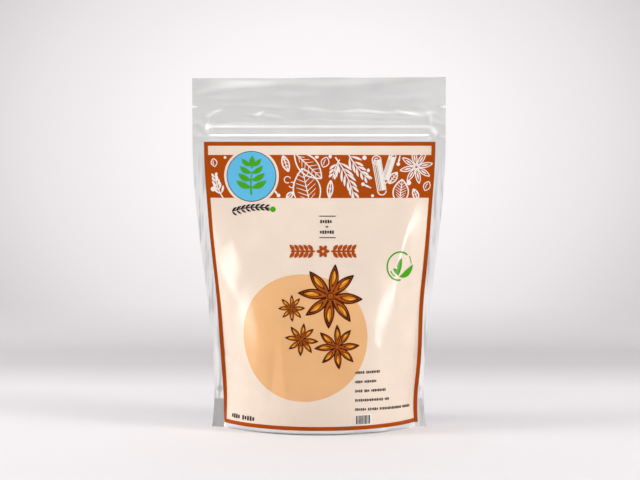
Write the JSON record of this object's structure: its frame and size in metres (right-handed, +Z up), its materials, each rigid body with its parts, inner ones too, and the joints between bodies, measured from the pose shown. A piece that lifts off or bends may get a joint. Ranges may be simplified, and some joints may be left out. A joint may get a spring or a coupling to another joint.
{
  "type": "stand-up zip pouch",
  "caption": "Sealed stand-up pouch of silver film with a gusseted foot, welded sides, tear notches, a press-to-close strip and a printed front; holds dried spice.",
  "frame": {"origin": "middle of the foot, on the surface the pouch stands on", "axes": "+Z up, +X across the width, the printed front faces -Y"},
  "size_m": [0.16, 0.0716, 0.222],
  "materials": {
    "film": "satin silver laminate",
    "print_ground": "glossy printed film, cream",
    "print_orange": "glossy printed film, burnt orange",
    "print_detail": "glossy printed film, pictures and marks"
  },
  "bodies": {
    "root": {"pouch": "film"}
  },
  "joints": []
}
